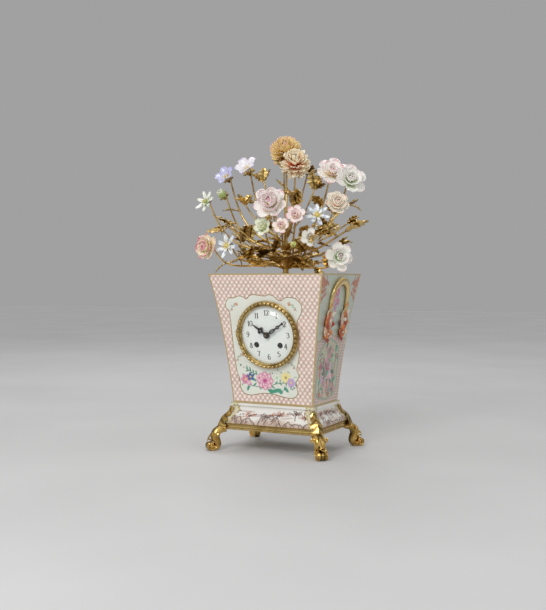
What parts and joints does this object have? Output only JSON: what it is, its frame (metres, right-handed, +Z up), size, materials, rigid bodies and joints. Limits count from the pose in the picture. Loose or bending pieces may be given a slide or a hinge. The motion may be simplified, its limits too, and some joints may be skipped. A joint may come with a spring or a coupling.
{
  "type": "mantel clock",
  "caption": "Porcelain mantel clock: flared square vase with a round dial in a gilt bezel, bouquet of porcelain flowers on gilt stems, gilt frame with scroll feet",
  "frame": {"origin": "on the ground, at the middle of the four feet", "axes": "X to the right, Y to the back, Z up; the dial faces -Y and leans a little downwards"},
  "size_m": [0.2544, 0.1526, 0.4543],
  "materials": {
    "gilt_bronze": "bright gilding over cast and chased bronze",
    "gilt_brass": "gilded spun and turned brass",
    "leaf_bronze": "aged gilding on soldered stems and leaves",
    "brass": "polished clock brass",
    "bell_bronze": "turned bell bronze",
    "steel": "polished blued-grey steel",
    "dark_bronze": "dark patinated bronze",
    "painted_porcelain": "hard-paste porcelain with enamel painting and gilding",
    "handle_gilding": "relief porcelain, gilded strap and iron-red scrolls",
    "white_enamel": "white vitreous enamel with black numerals",
    "clear_glass": "domed clear glass",
    "yellow_petals": "glazed porcelain petals, yellow and orange",
    "pink_petals": "glazed porcelain petals, pink and cream",
    "lilac_petals": "glazed porcelain petals, lilac and white",
    "green_white_petals": "glazed porcelain petals, white and green",
    "white_petals": "glazed porcelain petals, white with tinted edges"
  },
  "bodies": {
    "case": {"base_frame": "gilt_bronze", "foot_front_left": "gilt_bronze", "foot_front_right": "gilt_bronze", "foot_back_left": "gilt_bronze", "foot_back_right": "gilt_bronze", "case_fasteners": "steel", "porcelain_base": "painted_porcelain", "porcelain_body": "painted_porcelain", "handle_left": "handle_gilding", "handle_right": "handle_gilding", "top_plate": "gilt_brass", "bezel_ring": "gilt_bronze", "bezel_hinge_pin": "brass", "dial": "white_enamel", "dial_plate": "brass", "movement_drum": "brass", "front_plate": "brass", "back_plate": "brass", "plate_pillars": "brass", "bell": "bell_bronze", "bell_stand": "steel", "suspension_cock": "brass", "back_ring": "gilt_brass", "back_hinge_pin": "brass", "clamp_straps": "brass", "clamp_screws": "steel", "bouquet_branches": "leaf_bronze", "flowers_chrysanthemum": "yellow_petals", "flowers_peony": "pink_petals", "flowers_ranunculus": "white_petals", "flowers_star": "green_white_petals", "flowers_bell": "lilac_petals", "flowers_small": "white_petals", "flower_buds": "green_white_petals"},
    "going_centre": {"centre_wheel": "brass", "cannon_pinion": "brass", "minute_hand": "dark_bronze", "hand_collet": "brass"},
    "hour_pipe": {"hour_wheel": "brass", "hour_hand": "dark_bronze"},
    "minute_wheel": {"minute_wheel": "brass"},
    "intermediate_wheel": {"intermediate_wheel": "brass"},
    "going_barrel": {"going_barrel": "brass"},
    "third_wheel": {"third_wheel": "brass"},
    "escape_wheel": {"escape_wheel": "brass"},
    "strike_second_wheel": {"strike_second_wheel": "brass"},
    "strike_barrel": {"strike_barrel": "brass"},
    "pin_wheel": {"pin_wheel": "brass"},
    "locking_wheel": {"locking_wheel": "brass"},
    "strike_fly": {"strike_fly": "brass"},
    "going_winding_arbor": {"going_winding_arbor": "steel"},
    "strike_winding_arbor": {"strike_winding_arbor": "steel"},
    "going_click": {"going_click": "steel"},
    "strike_click": {"strike_click": "steel"},
    "bell_hammer": {"bell_hammer": "steel"},
    "pallet_anchor": {"pallet_anchor": "steel"},
    "pendulum": {"pendulum": "brass"},
    "bezel_door": {"bezel_door": "gilt_bronze", "bezel_glass": "clear_glass"},
    "back_door": {"back_door": "gilt_brass"}
  },
  "joints": [
    {"name": "minute_turn", "type": "hinge", "parent": "case", "child": "going_centre", "pos_m": [0, -0.0332, 0.1698], "axis": [0, 0.9902, 0.1399], "continuous": true},
    {"name": "hour_turn", "type": "hinge", "parent": "case", "child": "hour_pipe", "pos_m": [0, -0.0332, 0.1698], "axis": [0, 0.9902, 0.1399], "continuous": true},
    {"name": "minute_wheel_turn", "type": "hinge", "parent": "case", "child": "minute_wheel", "pos_m": [0, -0.03152, 0.15792], "axis": [0, 0.9902, 0.1399], "continuous": true},
    {"name": "intermediate_turn", "type": "hinge", "parent": "case", "child": "intermediate_wheel", "pos_m": [0.0138, -0.03353, 0.17213], "axis": [0, 0.9902, 0.1399], "continuous": true},
    {"name": "going_barrel_turn", "type": "hinge", "parent": "case", "child": "going_barrel", "pos_m": [0.0185, -0.03117, 0.15544], "axis": [0, 0.9902, 0.1399], "continuous": true},
    {"name": "third_turn", "type": "hinge", "parent": "case", "child": "third_wheel", "pos_m": [0.00305, -0.03491, 0.1819], "axis": [0, 0.9902, 0.1399], "continuous": true},
    {"name": "escape_turn", "type": "hinge", "parent": "case", "child": "escape_wheel", "pos_m": [0, -0.03636, 0.19216], "axis": [0, 0.9902, 0.1399], "continuous": true},
    {"name": "pin_wheel_turn", "type": "hinge", "parent": "case", "child": "pin_wheel", "pos_m": [-0.01852, -0.03517, 0.1837], "axis": [0, 0.9902, 0.1399], "continuous": true},
    {"name": "strike_second_turn", "type": "hinge", "parent": "case", "child": "strike_second_wheel", "pos_m": [-0.0138, -0.03353, 0.17213], "axis": [0, 0.9902, 0.1399], "continuous": true},
    {"name": "strike_barrel_turn", "type": "hinge", "parent": "case", "child": "strike_barrel", "pos_m": [-0.0185, -0.03117, 0.15544], "axis": [0, 0.9902, 0.1399], "continuous": true},
    {"name": "locking_turn", "type": "hinge", "parent": "case", "child": "locking_wheel", "pos_m": [-0.01039, -0.03643, 0.19264], "axis": [0, 0.9902, 0.1399], "continuous": true},
    {"name": "fly_turn", "type": "hinge", "parent": "case", "child": "strike_fly", "pos_m": [-0.01331, -0.03769, 0.20154], "axis": [0, 0.9902, 0.1399], "continuous": true},
    {"name": "going_winding", "type": "hinge", "parent": "case", "child": "going_winding_arbor", "pos_m": [0.0185, -0.03117, 0.15544], "axis": [0, 0.9902, 0.1399], "range_deg": [0, 2160]},
    {"name": "strike_winding", "type": "hinge", "parent": "case", "child": "strike_winding_arbor", "pos_m": [-0.0185, -0.03117, 0.15544], "axis": [0, 0.9902, 0.1399], "range_deg": [0, 2160]},
    {"name": "going_click_lift", "type": "hinge", "parent": "case", "child": "going_click", "pos_m": [0.0259, -0.04335, 0.14867], "axis": [0, 0.9902, 0.1399], "range_deg": [0, 12]},
    {"name": "strike_click_lift", "type": "hinge", "parent": "case", "child": "strike_click", "pos_m": [-0.0259, -0.04335, 0.14867], "axis": [0, 0.9902, 0.1399], "range_deg": [-12, 0]},
    {"name": "hammer_lift", "type": "hinge", "parent": "case", "child": "bell_hammer", "pos_m": [-0.03, -0.03348, 0.17178], "axis": [0, 0.9902, 0.1399], "range_deg": [-14, 0]},
    {"name": "pendulum_swing", "type": "hinge", "parent": "case", "child": "pendulum", "pos_m": [0, -0.00839, 0.20502], "axis": [0, 1, 0], "range_deg": [-3, 3]},
    {"name": "pallet_rock", "type": "hinge", "parent": "case", "child": "pallet_anchor", "pos_m": [0, -0.0376, 0.20088], "axis": [0, 0.9902, 0.1399], "range_deg": [-3, 3]},
    {"name": "bezel_door_swing", "type": "hinge", "parent": "case", "child": "bezel_door", "pos_m": [-0.0497, -0.05538, 0.16666], "axis": [0, 0.1399, -0.9902], "range_deg": [0, 100]},
    {"name": "back_door_swing", "type": "hinge", "parent": "case", "child": "back_door", "pos_m": [0.043, 0.0583, 0.17583], "axis": [0, -0.1399, -0.9902], "range_deg": [0, 110]}
  ],
  "couplings": [
    {"joint": "hour_turn", "follows": "minute_turn", "ratio": 0.083333},
    {"joint": "minute_wheel_turn", "follows": "minute_turn", "ratio": -0.33333},
    {"joint": "intermediate_turn", "follows": "minute_turn", "ratio": -0.16667},
    {"joint": "going_barrel_turn", "follows": "minute_turn", "ratio": 0.027778},
    {"joint": "third_turn", "follows": "minute_turn", "ratio": -6},
    {"joint": "escape_turn", "follows": "minute_turn", "ratio": 48},
    {"joint": "strike_second_turn", "follows": "pin_wheel_turn", "ratio": -0.16667},
    {"joint": "strike_barrel_turn", "follows": "pin_wheel_turn", "ratio": 0.027778},
    {"joint": "locking_turn", "follows": "pin_wheel_turn", "ratio": -8},
    {"joint": "fly_turn", "follows": "pin_wheel_turn", "ratio": 48},
    {"joint": "pallet_rock", "follows": "pendulum_swing", "ratio": 1}
  ]
}
